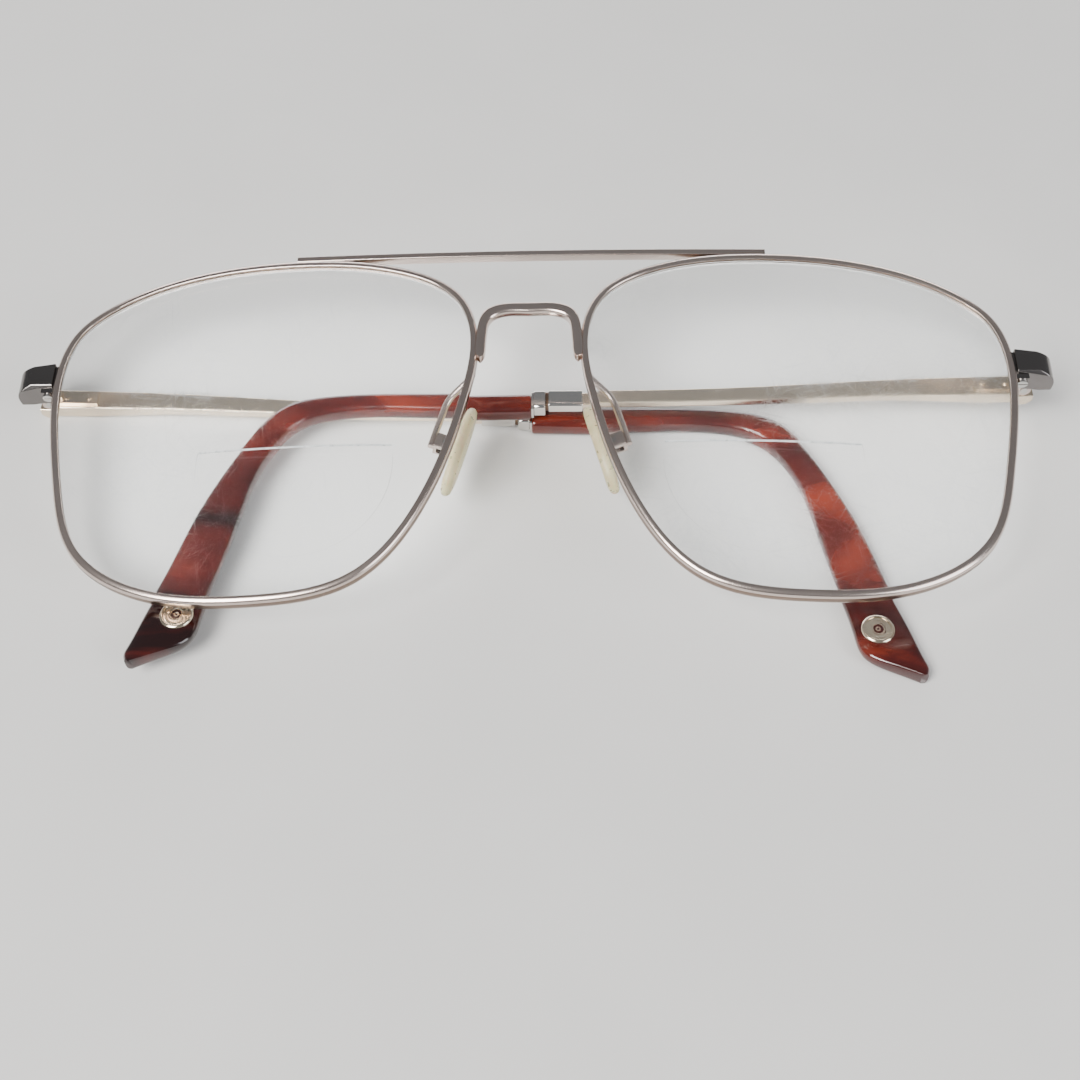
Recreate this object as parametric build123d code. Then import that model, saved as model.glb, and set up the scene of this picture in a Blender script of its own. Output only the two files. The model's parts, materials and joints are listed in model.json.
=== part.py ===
from build123d import *
import os
from math import cos, radians, sin

# Folded eyeglasses: two thin metal rims with a brow bar and a bridge, bifocal lenses, silicone
# nose pads, and two metal temple arms with hooked plastic tips.
#
# Everything is drawn in the frame of the front: X runs across it, Y runs up it from the hinges
# and Z points forwards from the nasal edge of the rims. The front's pieces are drawn on the
# right (+X) side. An arm is drawn along its own S, T and N axes: S along the arm from the
# hinge, T up, and N towards the lenses. At the end the folded glasses are laid on their lower
# arm, and the origin is put at the middle of the bottom of their bounding box.

# Stance of the folded glasses on a table, degrees
FRONT_TILT = 8.0
FRONT_ROLL = 1.81
FOLD_LEAN = {"left": 1.82, "right": -0.74}

# Rim and lens, millimetres
BASE_CURVE = 140.0
LENS_CENTRE = Vector(26.21, -10.2, -138.45)
RIM_OPENING = [
    (63.25, -3.5), (63.1, 1.5), (61.7, 5.8), (57.3, 9.5), (45.8, 13.3), (31.0, 14.4),
    (17.6, 12.9), (10.0, 8.5), (7.9, 2.5), (8.9, -8.0), (13.7, -23.0), (21.8, -33.0),
    (34.0, -35.6), (49.0, -33.6), (57.2, -27.7), (60.6, -18.5), (62.3, -10.5),
]
OUTLINE_STEPS = 40
RIM_WIDTH = 1.1
RIM_SHIFT = 0.1
RIM_DEPTH = 1.85
GROOVE_DEPTH = 0.44
GROOVE_FRONT = 0.76
GROOVE_WIDTH = 0.53
LENS_GAP = 0.04
LENS_SETBACK = 0.5
LENS_THICKNESS = 1.5

# Reading segment: a disc with a flat top, steeper than the lens and proud of it at the flat
SEGMENT_RADIUS = 12.6
SEGMENT_CENTRE = (29.65, -18.15)
SEGMENT_FLAT = 2.3
SEGMENT_SLOPE = -1.1
SEGMENT_STEP = 0.40
SEGMENT_RISE = 2.3

# Brow bar and bridge
BAR_HALF_LENGTH = 32.2
BAR_BOTTOM = 15.5
BAR_TOP = 16.4
BAR_DEPTH = 1.4
BAR_FRONT_MIDDLE = -0.6
BAR_FRONT_END = -1.2
BRIDGE_DEPTH = 1.5
BRIDGE_FRONT = 0.1
BRIDGE_OUTER = [(0, 7.2), (3.9, 7.05), (5.9, 6.1), (6.8, 4.0), (7.3, -0.9)]
BRIDGE_FOOT = (6.5, -1.8)
BRIDGE_INNER = [(5.75, -0.9), (5.6, 2.6), (5.1, 4.5), (3.7, 5.35), (0, 5.5)]

# Nose pads and their mounts
PAD_CENTRE = Vector(9.4, -12.4, -6.4)
PAD_DOWN = Vector(0.26, -0.96, 0)
PAD_SPLAY = 10.0
PAD_LENGTH = 13.4
PAD_WIDTH = 7.0
PAD_THICKNESS = 1.6
PAD_ROUND = 0.7
PAD_AXIS_OUT = 1.9
LUG_RADIUS = 0.8
LUG_THICKNESS = 0.9
LUG_ROOT = 0.2
PAD_BOX_LENGTH = 2.2
PAD_BOX_WIDTH = 2.2
PAD_BOX_START = 1.2
PAD_BOX_END = 3.3
PAD_BOX_SLOT_END = 2.85
PAD_BOX_SLOT = 1.1
PAD_SCREW_RADIUS = 0.35
PAD_BOX_ROUND = 0.25
PAD_SCREW_HEAD = 0.6
PAD_SCREW_HEAD_HEIGHT = 0.35
PAD_WIRE_RADIUS = 0.45
PAD_WIRE_START = [Vector(7.55, -2.6, -1.35), Vector(7.6, -2.7, -3.6), Vector(11.0, -5.4, -5.2)]
PAD_WIRE_BENDS = [2.0, 4.0, 4.0]
PAD_WIRE_OUT = 3.65
PAD_WIRE_ALONG = (-2.2, 0.8)

# End pieces and the blocks that close the rims
END_PIECE_INNER = 64.7
END_PIECE_FRONT = -4.28
END_PIECE_BACK = -8.2
END_PIECE_TOP = 1.3
END_PIECE_BOTTOM = -2.8
BLOCK_FRONT = -4.7
BLOCK_BACK = -6.5
BLOCK_INNER = 64.0
BLOCK_OUTER = 66.2
BLOCK_TOP = 1.0
BLOCK_BOTTOM = -3.2
BLOCK_SPLIT = -1.1
BLOCK_GAP = 0.1
LOCK_SCREW_X = 65.35
LOCK_SCREW_Z = -5.6
LOCK_SCREW_RADIUS = 0.45
LOCK_SCREW_HEAD = 0.75

# Hinges
HINGE_X = 67.0
HINGE_Z = -10.28
KNUCKLE_RADIUS = 0.95
KNUCKLE_HALF = 0.5
HINGE_HALF_HEIGHT = 1.6
HINGE_GAP = 0.1
HINGE_SCREW_RADIUS = 0.5
HINGE_SCREW_HEAD = 0.8
RUNNING_GAP = 0.04
FIXED_GAP = 0.02
HINGE_WEB_INNER = -1.0
HINGE_WEB_OUTER = 0.85
HINGE_WEB_DEPTH = 0.7
LEAF_THICKNESS = 0.35
LEAF_START = 1.3
LEAF_END = 6.6
LEAF_HALF_HEIGHT = 1.1
RIVETS = (2.3, 5.4)
RIVET_RADIUS = 0.42
RIVET_HEIGHT = 0.15

# Temple arms
ARM_INNER = -1.1
ARM_OUTER = -2.3
ARM_HINGE_OUTER = -3.0
ARM_END = -1.6
ARM_TOP = [(ARM_END, 1.75), (0.0, 1.7), (16.0, 1.27), (30.0, 0.46), (38.0, 0.0), (66.0, -0.5)]
ARM_BOTTOM = [(66.0, -2.7), (38.0, -2.4), (30.0, -2.15), (16.0, -1.7), (0.0, -1.6), (ARM_END, -1.55)]
CORE_LINE = [(64.0, -1.7), (70.0, -2.3), (94.0, -2.85), (99.5, -4.9), (102.8, -9.0),
             (106.0, -19.0), (109.3, -31.0)]
CORE_WIDTH = 1.5
COLLAR_START = 60.0
COLLAR_GROOVE = 64.7
COLLAR_RING = 65.1
COLLAR_END = 66.7
SLEEVE_START = 67.0

# Temple tips
TIP_INNER = -0.35
TIP_OUTER = -3.05
TIP_INNER_TAPER = 0.4
TIP_OUTER_TAPER = 0.15
TIP_ROUND = 0.7
TIP_OUTLINE = [
    (67.0, -0.95), (80.0, -1.1), (94.7, -1.5), (100.7, -3.2), (104.3, -7.7), (109.9, -20.4),
    (113.3, -32.2), (116.1, -41.2), (116.3, -43.1), (115.2, -43.7), (110.5, -41.7),
    (108.3, -39.9), (107.7, -37.0), (106.6, -31.5), (104.7, -22.3), (103.0, -14.0),
    (101.0, -9.5), (98.3, -6.3), (94.4, -4.6), (80.0, -4.3), (67.0, -4.2),
]
MEDALLION = (110.6, -37.0)
MEDALLION_RADIUS = 2.1
MEDALLION_CREST = 1.85
MEDALLION_DISH = 1.6
MEDALLION_FLANGE = -0.75
MEDALLION_TOP = -0.55
MEDALLION_BASE = -1.15

# Slab that outlines drawn on the front are pushed through, wider than every piece
SLAB_BACK = -12.0
SLAB_DEPTH = 16.0

SIDES = ("left", "right")


def on_side(shape, side):
    """Keep a right-hand shape, or mirror it for the left."""
    return shape if side == "right" else mirror(shape, about=Plane.YZ)


def block(x_range, y_range, z_range):
    """A box between pairs of coordinates."""
    low = Vector(x_range[0], y_range[0], z_range[0])
    high = Vector(x_range[1], y_range[1], z_range[1])
    size = high - low
    return Pos(*((low + high) / 2)) * Box(size.X, size.Y, size.Z)


def rod(radius, y_range):
    """A cylinder along Y between two heights."""
    length = y_range[1] - y_range[0]
    return Pos(0, sum(y_range) / 2, 0) * Rot(90, 0, 0) * Cylinder(radius, length)


# ---- Rims and lenses ----

def curved_layer(front, thickness):
    """Shell that follows the base curve, from a setback behind its front."""
    outer = Sphere(BASE_CURVE - front, rotation=(90, 0, 0))
    inner = Sphere(BASE_CURVE - front - thickness, rotation=(90, 0, 0))
    return Pos(*LENS_CENTRE) * (outer - inner)


def opening(growth, shift=0.0):
    """Prism through the rim's opening, grown by a margin."""
    edge = Spline(*RIM_OPENING, periodic=True)
    steps = [step / OUTLINE_STEPS for step in range(OUTLINE_STEPS)]
    outwards = [(edge % step).cross(Vector(0, 0, -1)) for step in steps]
    grown = [edge @ step - way * growth for step, way in zip(steps, outwards)]
    face = make_face(Spline(*grown, periodic=True))
    return extrude(Pos(shift, shift, SLAB_BACK) * face, SLAB_DEPTH)


def make_rim():
    ring = opening(RIM_WIDTH, RIM_SHIFT) & curved_layer(0, RIM_DEPTH)
    groove = opening(GROOVE_DEPTH) & curved_layer(GROOVE_FRONT, GROOVE_WIDTH)
    return ring - opening(0) - groove


def make_lens():
    body = opening(-LENS_GAP) & curved_layer(LENS_SETBACK, LENS_THICKNESS)
    bevel_front = GROOVE_FRONT + LENS_GAP
    bevel_width = GROOVE_WIDTH - 2 * LENS_GAP
    bevel = opening(GROOVE_DEPTH - LENS_GAP) & curved_layer(bevel_front, bevel_width)
    return body + bevel


def make_lens_segment():
    disc = Circle(SEGMENT_RADIUS)
    above = Pos(0, SEGMENT_FLAT + SEGMENT_RADIUS, 0) * Rectangle(4 * SEGMENT_RADIUS,
                                                                 2 * SEGMENT_RADIUS)
    face = Pos(*SEGMENT_CENTRE, SLAB_BACK) * Rot(0, 0, SEGMENT_SLOPE) * (disc - above)
    lens_front = Sphere(BASE_CURVE - LENS_SETBACK, rotation=(90, 0, 0))
    segment_front = Sphere(BASE_CURVE - LENS_SETBACK + SEGMENT_STEP, rotation=(90, 0, 0))
    raised = Pos(0, SEGMENT_RISE, 0) * segment_front - lens_front
    return extrude(face, SLAB_DEPTH) & (Pos(*LENS_CENTRE) * raised)


# ---- Brow bar and bridge ----

def make_brow_bar(rims):
    """Flat strip, bowed forwards in the middle, laid on both rims."""
    front = ThreePointArc((-BAR_HALF_LENGTH, BAR_FRONT_END), (0, BAR_FRONT_MIDDLE),
                          (BAR_HALF_LENGTH, BAR_FRONT_END))
    ends = [Vector(x, BAR_FRONT_END) for x in (BAR_HALF_LENGTH, -BAR_HALF_LENGTH)]
    back = [end - Vector(0, BAR_DEPTH) for end in ends]
    sides = Polyline(ends[0], back[0], back[1], ends[1])
    plan = make_face([*front.edges(), *sides.edges()])
    bar = extrude(Plane.XZ.offset(-BAR_BOTTOM) * plan, -(BAR_TOP - BAR_BOTTOM))
    return bar - rims


def make_bridge(rims):
    """Low arch with two tapered legs that lie along the rims."""
    outer = Spline(*BRIDGE_OUTER)
    foot = ThreePointArc(BRIDGE_OUTER[-1], BRIDGE_FOOT, BRIDGE_INNER[0])
    inner = Spline(*BRIDGE_INNER)
    middle = Line(BRIDGE_INNER[-1], BRIDGE_OUTER[0])
    half = make_face([*outer.edges(), *foot.edges(), *inner.edges(), *middle.edges()])
    arch = extrude(Pos(0, 0, BRIDGE_FRONT - BRIDGE_DEPTH) * (half + mirror(half, about=Plane.YZ)),
                   BRIDGE_DEPTH)
    return arch - rims


# ---- End pieces, rim closing blocks and hinges ----

def closing_space():
    return block((BLOCK_INNER, BLOCK_OUTER), (BLOCK_BOTTOM, BLOCK_TOP), (BLOCK_BACK, BLOCK_FRONT))


def lock_screw_hole():
    hole = rod(LOCK_SCREW_RADIUS + FIXED_GAP, (BLOCK_BOTTOM - 1, BLOCK_TOP - 0.4))
    return Pos(LOCK_SCREW_X, 0, LOCK_SCREW_Z) * hole


def make_closing_block(rim, y_range):
    """One half of the block that clamps the rim around the lens."""
    half = block((BLOCK_INNER, BLOCK_OUTER), y_range, (BLOCK_BACK, BLOCK_FRONT))
    return half - rim - lock_screw_hole()


def make_lock_screw():
    shank = rod(LOCK_SCREW_RADIUS, (BLOCK_BOTTOM, BLOCK_TOP - 0.5))
    head = rod(LOCK_SCREW_HEAD, (BLOCK_BOTTOM - 0.4, BLOCK_BOTTOM))
    slot = Pos(0, BLOCK_BOTTOM - 0.4, 0) * Box(4 * LOCK_SCREW_HEAD, 0.3, 0.2)
    return Pos(LOCK_SCREW_X, 0, LOCK_SCREW_Z) * (shank + head - slot)


def make_end_piece():
    """Wedge that wraps back from the rim, with a sloping top and a bevelled lower edge."""
    front = Line((END_PIECE_INNER, END_PIECE_FRONT), (67.6, END_PIECE_FRONT))
    wall = Spline((67.6, END_PIECE_FRONT), (69.2, -5.1), (69.95, -6.8), (69.9, END_PIECE_BACK))
    back = Polyline((69.9, END_PIECE_BACK), (65.7, END_PIECE_BACK), (END_PIECE_INNER, -7.0),
                    (END_PIECE_INNER, END_PIECE_FRONT))
    plan = make_face([*front.edges(), *wall.edges(), *back.edges()])
    height = END_PIECE_TOP - END_PIECE_BOTTOM
    wedge = extrude(Plane.XZ.offset(-END_PIECE_BOTTOM) * plan, -height)
    top = make_face(Polyline((60, 4), (60, END_PIECE_TOP), (END_PIECE_INNER, END_PIECE_TOP),
                             (68.2, 0.75), (74, 0.45), (74, 4), close=True))
    bottom = make_face(Polyline((60, -5), (60, -2.3), (END_PIECE_INNER, -2.3), (67.9, -2.75),
                                (74, -2.9), (74, -5), close=True))
    bevel_line = Plane(origin=(0, -2.15, END_PIECE_FRONT), x_dir=(1, 0, 0), z_dir=(0, -1, 1))
    bevel = bevel_line * Pos(67, 0, 2) * Box(16, 8, 4)
    for cutter in (top, bottom):
        wedge = wedge - extrude(Pos(0, 0, -12) * cutter, 12)
    return wedge - bevel - closing_space()


def hinge_frame():
    """Right-hand hinge: Y along its axis, Z towards the end piece."""
    axis = Vector(0, cos(radians(FRONT_TILT)), -sin(radians(FRONT_TILT)))
    forward = Vector(0, sin(radians(FRONT_TILT)), cos(radians(FRONT_TILT)))
    return Plane(origin=(HINGE_X, 0, HINGE_Z), x_dir=axis.cross(forward), z_dir=forward)


def make_front_hinge(end_piece):
    """Two knuckles on a web that is soldered to the back of the end piece."""
    reach = END_PIECE_BACK - HINGE_Z
    hinge = block((HINGE_WEB_INNER, HINGE_WEB_OUTER), (-HINGE_HALF_HEIGHT, HINGE_HALF_HEIGHT),
                  (reach - HINGE_WEB_DEPTH, reach + 1.0))
    for y_range in ((KNUCKLE_HALF + HINGE_GAP, HINGE_HALF_HEIGHT),
                    (-HINGE_HALF_HEIGHT, -KNUCKLE_HALF - HINGE_GAP)):
        tab = block((-0.75, 0.75), y_range, (0, reach))
        hinge = hinge + tab + rod(KNUCKLE_RADIUS, y_range)
    hinge = hinge - rod(HINGE_SCREW_RADIUS + FIXED_GAP, (-5, 5))
    behind = block((60, 74), (-5, 5), (HINGE_Z - 3, END_PIECE_BACK))
    return (hinge_frame() * hinge) & behind


def make_hinge_screw():
    shank = rod(HINGE_SCREW_RADIUS, (-HINGE_HALF_HEIGHT - 0.1, HINGE_HALF_HEIGHT))
    head = rod(HINGE_SCREW_HEAD, (HINGE_HALF_HEIGHT, HINGE_HALF_HEIGHT + 0.35))
    slot = Pos(0, HINGE_HALF_HEIGHT + 0.35, 0) * Box(4 * HINGE_SCREW_HEAD, 0.3, 0.2)
    return hinge_frame() * (shank + head - slot)


# ---- Nose pads ----

def pad_frame():
    """Right-hand pad: X down the pad, Y across it and Z away from the nose."""
    splay = radians(PAD_SPLAY)
    down = PAD_DOWN.normalized()
    outwards = down.cross(Vector(sin(splay), 0, -cos(splay)))
    return Plane(origin=PAD_CENTRE, x_dir=down, z_dir=outwards)


def lug(growth=0.0):
    """Rounded tongue on the pad's outer face, around the pivot."""
    root = block((-LUG_RADIUS - growth, LUG_RADIUS + growth),
                 (-LUG_THICKNESS / 2 - growth, LUG_THICKNESS / 2 + growth),
                 (LUG_ROOT - growth, PAD_AXIS_OUT))
    half = LUG_THICKNESS / 2 + growth
    end = Pos(0, 0, PAD_AXIS_OUT) * rod(LUG_RADIUS + growth, (-half, half))
    return root + end


def make_pad_stem():
    hole = Pos(0, 0, PAD_AXIS_OUT) * rod(PAD_SCREW_RADIUS + RUNNING_GAP, (-2, 2))
    return pad_frame() * (lug() - hole)


def make_nose_pad():
    body = extrude(Pos(0, 0, -PAD_THICKNESS / 2) * Ellipse(PAD_LENGTH / 2, PAD_WIDTH / 2),
                   PAD_THICKNESS)
    body = fillet(body.edges(), PAD_ROUND)
    return pad_frame() * (body - lug())


def make_pad_box():
    """U-shaped socket that holds the pad's lug between two cheeks."""
    body = block((-PAD_BOX_LENGTH / 2, PAD_BOX_LENGTH / 2),
                 (-PAD_BOX_WIDTH / 2, PAD_BOX_WIDTH / 2), (PAD_BOX_START, PAD_BOX_END))
    body = fillet(body.edges().filter_by(Axis.Z), PAD_BOX_ROUND)
    slot = block((-PAD_BOX_LENGTH, PAD_BOX_LENGTH), (-PAD_BOX_SLOT / 2, PAD_BOX_SLOT / 2),
                 (PAD_BOX_START - 1, PAD_BOX_SLOT_END))
    hole = Pos(0, 0, PAD_AXIS_OUT) * rod(PAD_SCREW_RADIUS + FIXED_GAP, (-2, 2))
    return pad_frame() * (body - slot - hole)


def make_pad_screw():
    half = PAD_BOX_WIDTH / 2
    shank = rod(PAD_SCREW_RADIUS, (-half, half))
    head = rod(PAD_SCREW_HEAD, (half, half + PAD_SCREW_HEAD_HEIGHT))
    slot = Pos(0, half + PAD_SCREW_HEAD_HEIGHT, 0) * Box(4 * PAD_SCREW_HEAD, 0.25, 0.18)
    return pad_frame() * Pos(0, 0, PAD_AXIS_OUT) * (shank + head - slot)


def make_pad_arm(rim, pad_box):
    """Bent wire from the back of the rim down the back of the pad box."""
    along_box = [pad_frame().from_local_coords(Vector(down, 0, PAD_WIRE_OUT))
                 for down in PAD_WIRE_ALONG]
    path = FilletPolyline(*PAD_WIRE_START, *along_box, radius=PAD_WIRE_BENDS)
    wire = sweep(Plane(origin=path @ 0, z_dir=path % 0) * Circle(PAD_WIRE_RADIUS), path=path)
    return wire - rim - pad_box


# ---- Temple arms, drawn along S, T and N ----

def arm_profile():
    """Side view of the metal arm, deepest at the hinge."""
    top = Spline(*ARM_TOP)
    bottom = Spline(*ARM_BOTTOM)
    ends = [Line(ARM_TOP[-1], ARM_BOTTOM[0]), Line(ARM_BOTTOM[-1], ARM_TOP[0])]
    return make_face([*top.edges(), *bottom.edges(), *[end.edge() for end in ends]])


def arm_core():
    """Wire that runs on inside the plastic tip."""
    strip = trace(Spline(*CORE_LINE), line_width=CORE_WIDTH)
    return extrude(Pos(0, 0, ARM_OUTER) * strip, ARM_INNER - ARM_OUTER)


def make_temple_arm():
    bar = extrude(Pos(0, 0, ARM_HINGE_OUTER) * arm_profile(), ARM_INNER - ARM_HINGE_OUTER)
    swelling = make_face(Polyline((ARM_END, ARM_INNER), (ARM_END, -2.3), (ARM_END + 0.7, -3.0),
                                  (5.0, ARM_HINGE_OUTER), (18.0, ARM_OUTER), (70.0, ARM_OUTER),
                                  (70.0, ARM_INNER), close=True))
    bar = bar & extrude(Plane.XZ.offset(-10) * swelling, 20)
    return bar + arm_core()


def make_temple_hinge():
    """Middle knuckle with a leaf along the inner face of the arm."""
    knuckle = rod(KNUCKLE_RADIUS, (-KNUCKLE_HALF, KNUCKLE_HALF))
    web = block((0, LEAF_START + 0.5), (-KNUCKLE_HALF, KNUCKLE_HALF), (ARM_INNER, -0.3))
    leaf = block((LEAF_START, LEAF_END), (-LEAF_HALF_HEIGHT, LEAF_HALF_HEIGHT),
                 (ARM_INNER, ARM_INNER + LEAF_THICKNESS))
    hole = rod(HINGE_SCREW_RADIUS + RUNNING_GAP, (-2, 2))
    return knuckle + web + leaf - hole


def make_hinge_rivets():
    top = ARM_INNER + LEAF_THICKNESS
    heads = [Pos(s, 0, top + RIVET_HEIGHT / 2) * Cylinder(RIVET_RADIUS, RIVET_HEIGHT)
             for s in RIVETS]
    return Compound(children=heads)


def collar_step(s_range, t_range, n_range, rounding):
    """One rounded length of the collar."""
    step = block(s_range, t_range, n_range)
    return fillet(step.edges().filter_by(Axis.X), rounding)


def make_collar(arm):
    """Metal ferrule with a groove, where the arm enters the plastic tip."""
    body = collar_step((COLLAR_START, COLLAR_GROOVE), (-3.0, -0.1), (-2.6, -0.8), 0.4)
    neck = collar_step((COLLAR_GROOVE, COLLAR_RING), (-2.9, -0.25), (-2.5, -0.9), 0.3)
    ring = collar_step((COLLAR_RING, COLLAR_END), (-3.5, -0.35), (-2.75, -0.6), 0.4)
    return body + neck + ring - arm


def make_gasket(arm):
    disc = collar_step((COLLAR_END, SLEEVE_START), (-3.8, -0.7), (-2.85, -0.5), 0.4)
    return disc - arm


def make_tip(arm):
    """Plastic sleeve that hooks down behind the ear and ends in a paddle."""
    edge = Spline(*TIP_OUTLINE)
    mouth = Line(TIP_OUTLINE[-1], TIP_OUTLINE[0])
    face = make_face([*edge.edges(), *mouth.edges()])
    body = extrude(Pos(0, 0, TIP_OUTER) * face, TIP_INNER - TIP_OUTER)
    body = fillet(body.edges().filter_by(GeomType.BSPLINE), TIP_ROUND)
    thin_inner = TIP_INNER - TIP_INNER_TAPER
    thin_outer = TIP_OUTER + TIP_OUTER_TAPER
    taper = make_face(Polyline((2, TIP_OUTER), (-8, TIP_OUTER), (-30, thin_outer),
                               (-50, thin_outer), (-50, thin_inner), (-30, thin_inner),
                               (-8, TIP_INNER), (2, TIP_INNER), close=True))
    body = body & extrude(Plane.YZ.offset(50) * taper, 80)
    pocket = Pos(*MEDALLION, (MEDALLION_BASE + 1) / 2) * Cylinder(MEDALLION_RADIUS,
                                                                  1 - MEDALLION_BASE)
    return body - arm - pocket


def make_medallion_ring():
    """Bezel with a sloping flank that stands proud of the plastic."""
    base = MEDALLION_FLANGE - MEDALLION_BASE
    proud = MEDALLION_TOP - MEDALLION_FLANGE
    ring = Pos(0, 0, MEDALLION_BASE + base / 2) * Cylinder(MEDALLION_RADIUS, base)
    flank = Cone(MEDALLION_RADIUS, MEDALLION_CREST, proud)
    ring = ring + Pos(0, 0, MEDALLION_FLANGE + proud / 2) * flank
    return Pos(*MEDALLION) * (ring - Cylinder(MEDALLION_DISH, 5))


def make_medallion_disc():
    height = MEDALLION_TOP - MEDALLION_BASE - 0.15
    disc = Cylinder(MEDALLION_DISH, height)
    return Pos(*MEDALLION, MEDALLION_BASE + height / 2) * disc


def arm_frame(side):
    """Left-hand frame of an arm at its folded lean: X is S, Y is T and Z is N."""
    tilt = radians(FRONT_TILT)
    lean = radians(FOLD_LEAN[side])
    forward = Vector(0, sin(tilt), cos(tilt))
    along = Vector(cos(lean), 0, 0) - forward * sin(lean)
    normal = forward * cos(lean) + Vector(sin(lean), 0, 0)
    return Plane(origin=(-HINGE_X, 0, HINGE_Z), x_dir=along, z_dir=normal)


def on_arm(shape, side):
    """Put a shape drawn along S, T and N on the folded arm of one side."""
    placed = arm_frame(side) * shape
    return placed if side == "left" else mirror(placed, about=Plane.YZ)


# ---- Assembly ----

def front_pieces():
    """The pieces of the front on the right side, by name."""
    rim = make_rim()
    end_piece = make_end_piece()
    pad_box = make_pad_box()
    upper = (BLOCK_SPLIT + BLOCK_GAP / 2, BLOCK_TOP)
    lower = (BLOCK_BOTTOM, BLOCK_SPLIT - BLOCK_GAP / 2)
    return {
        "rim": rim,
        "lens": make_lens(),
        "lens_segment": make_lens_segment(),
        "upper_closing_block": make_closing_block(rim, upper),
        "lower_closing_block": make_closing_block(rim, lower),
        "lock_screw": make_lock_screw(),
        "end_piece": end_piece - rim,
        "front_hinge": make_front_hinge(end_piece),
        "hinge_screw": make_hinge_screw(),
        "pad_arm": make_pad_arm(rim, pad_box),
        "pad_box": pad_box,
        "pad_screw": make_pad_screw(),
        "pad_stem": make_pad_stem(),
        "nose_pad": make_nose_pad(),
    }


def arm_pieces():
    """The pieces of one arm along S, T and N, by name."""
    arm = make_temple_arm()
    return {
        "temple_arm": arm,
        "temple_hinge": make_temple_hinge(),
        "hinge_rivets": make_hinge_rivets(),
        "collar": make_collar(arm),
        "gasket": make_gasket(arm),
        "temple_tip": make_tip(arm),
        "medallion_ring": make_medallion_ring(),
        "medallion_disc": make_medallion_disc(),
    }


def all_pieces():
    """Every sub-part, folded, in the frame of the front."""
    pieces = {}
    front = front_pieces()
    arm = arm_pieces()
    for side in SIDES:
        for name, shape in front.items():
            pieces[side + "_" + name] = on_side(shape, side)
        for name, shape in arm.items():
            pieces[side + "_" + name] = on_arm(shape, side)
    rims = pieces["left_rim"] + pieces["right_rim"]
    pieces["brow_bar"] = make_brow_bar(rims)
    pieces["nose_bridge"] = make_bridge(rims)
    return pieces


def resting_place(pieces):
    """Lay the glasses on the table, with the origin under the middle of their bounding box."""
    stance = Rot(0, -FRONT_ROLL, 0) * Rot(FRONT_TILT, 0, 0)
    boxes = [(stance * shape).bounding_box() for shape in pieces.values()]
    low = [min(getattr(box.min, axis) for box in boxes) for axis in "XYZ"]
    high = [max(getattr(box.max, axis) for box in boxes) for axis in "XYZ"]
    return Pos(-(low[0] + high[0]) / 2, -(low[1] + high[1]) / 2, -low[2]) * stance


def main():
    pieces = all_pieces()
    place = resting_place(pieces)
    os.makedirs("parts", exist_ok=True)
    for name, shape in pieces.items():
        export_step(place * shape, "parts/" + name + ".step")


main()
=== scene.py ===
import json
from math import cos, pi, radians, sin

import bmesh
import bpy
import numpy as np
from mathutils import Matrix, Vector


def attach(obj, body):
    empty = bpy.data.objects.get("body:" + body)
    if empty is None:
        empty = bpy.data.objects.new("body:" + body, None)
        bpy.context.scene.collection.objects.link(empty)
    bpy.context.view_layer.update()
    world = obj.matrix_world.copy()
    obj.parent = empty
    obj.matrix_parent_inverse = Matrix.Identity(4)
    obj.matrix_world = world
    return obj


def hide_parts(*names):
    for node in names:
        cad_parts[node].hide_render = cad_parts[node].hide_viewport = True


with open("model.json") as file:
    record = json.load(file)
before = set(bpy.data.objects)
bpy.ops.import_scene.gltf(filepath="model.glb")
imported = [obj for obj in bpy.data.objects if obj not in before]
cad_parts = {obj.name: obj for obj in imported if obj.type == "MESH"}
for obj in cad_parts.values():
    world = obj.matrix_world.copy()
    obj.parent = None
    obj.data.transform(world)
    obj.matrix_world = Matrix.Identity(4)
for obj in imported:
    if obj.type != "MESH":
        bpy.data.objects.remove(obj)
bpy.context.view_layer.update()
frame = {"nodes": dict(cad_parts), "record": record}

# Folded eyeglasses. Lengths are millimetres in the frame of the front (X across, Y up from the
# hinges, Z forwards) or, on an arm, along S, T and N (along the arm, up, towards the lenses).
# front_matrix and arm_matrix turn them into metres in the model's frame.

SIDES = ("left", "right")
TILT = radians(8.0)
HINGE_X = 67.0
HINGE_Z = -10.28
ARM_LEAN = {"left": radians(1.82), "right": radians(-0.74)}

# Rims and lenses
BASE_CURVE = 140.0
LENS_CENTRE = (26.21, -10.2, -138.45)
LENS_MIDDLE = (35.0, -10.0)
RIM_OPENING = [
    (63.25, -3.5), (63.1, 1.5), (61.7, 5.8), (57.3, 9.5), (45.8, 13.3), (31.0, 14.4),
    (17.6, 12.9), (10.0, 8.5), (7.9, 2.5), (8.9, -8.0), (13.7, -23.0), (21.8, -33.0),
    (34.0, -35.6), (49.0, -33.6), (57.2, -27.7), (60.6, -18.5), (62.3, -10.5),
]
RIM_SECTION = [
    (0.00, 0.74), (0.00, 0.20), (0.05, 0.07), (0.16, 0.01), (0.45, 0.00), (0.72, 0.03),
    (0.92, 0.12), (1.04, 0.27), (1.10, 0.50), (1.10, 1.35), (1.04, 1.60), (0.90, 1.78),
    (0.65, 1.85), (0.20, 1.85), (0.05, 1.80), (0.00, 1.65), (0.00, 1.31), (0.43, 1.03),
]
# Section faces that get dark metal as painted shade: the inner, outer and groove walls.
RIM_WALLS = (0, 1, 8, 16, 17)
RIM_WIDTH = 1.1
RIM_SHIFT = 0.1
LENS_SECTION = [(-0.04, 0.50), (-0.04, 0.80), (0.39, 1.00), (0.39, 1.05), (-0.04, 1.25),
                (-0.04, 2.00)]
SEGMENT_RADIUS = 12.6
SEGMENT_CENTRE = (29.65, -18.15)
SEGMENT_FLAT = 2.3
SEGMENT_SLOPE = radians(-1.1)
SEGMENT_BACK = 0.9
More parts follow.
